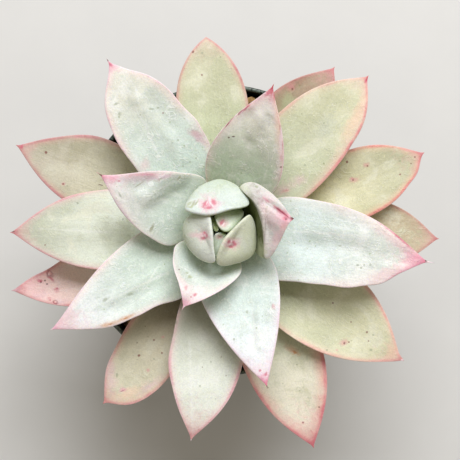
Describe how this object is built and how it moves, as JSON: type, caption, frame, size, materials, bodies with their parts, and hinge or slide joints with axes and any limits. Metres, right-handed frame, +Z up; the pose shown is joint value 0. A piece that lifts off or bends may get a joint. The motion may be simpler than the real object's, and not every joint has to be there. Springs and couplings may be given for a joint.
{
  "type": "potted echeveria",
  "caption": "Rosette succulent with pale powdery fleshy leaves and pink tips on a short stem, standing in soil in a thin round dark plastic nursery pot.",
  "frame": {"origin": "centre of the pot's flat underside", "axes": "+Z up along the pot's axis, +X towards the right and +Y towards the top of a picture taken from straight above"},
  "size_m": [0.1277, 0.1214, 0.1177],
  "materials": {
    "pot": "satin",
    "soil": "matte",
    "grit": "matte",
    "stem": "matte",
    "outer_leaf": "matte",
    "inner_leaf": "matte"
  },
  "bodies": {
    "root": {"pot": "pot", "soil": "soil", "grit_01": "grit", "grit_02": "grit", "grit_03": "grit", "grit_04": "grit", "grit_05": "grit", "grit_06": "grit", "grit_07": "grit", "grit_08": "grit", "grit_09": "grit", "grit_10": "grit", "grit_11": "grit", "grit_12": "grit", "stem": "stem", "leaf_01": "outer_leaf", "leaf_02": "outer_leaf", "leaf_03": "outer_leaf", "leaf_04": "outer_leaf", "leaf_05": "outer_leaf", "leaf_06": "outer_leaf", "leaf_07": "outer_leaf", "leaf_08": "outer_leaf", "leaf_09": "outer_leaf", "leaf_10": "outer_leaf", "leaf_11": "outer_leaf", "leaf_12": "outer_leaf", "leaf_13": "inner_leaf", "leaf_14": "inner_leaf", "leaf_15": "inner_leaf", "leaf_16": "inner_leaf", "leaf_17": "inner_leaf", "leaf_18": "inner_leaf", "leaf_19": "inner_leaf", "leaf_20": "inner_leaf", "leaf_21": "inner_leaf", "leaf_22": "inner_leaf", "leaf_23": "inner_leaf", "leaf_24": "inner_leaf", "leaf_25": "inner_leaf", "leaf_26": "inner_leaf"}
  },
  "joints": []
}
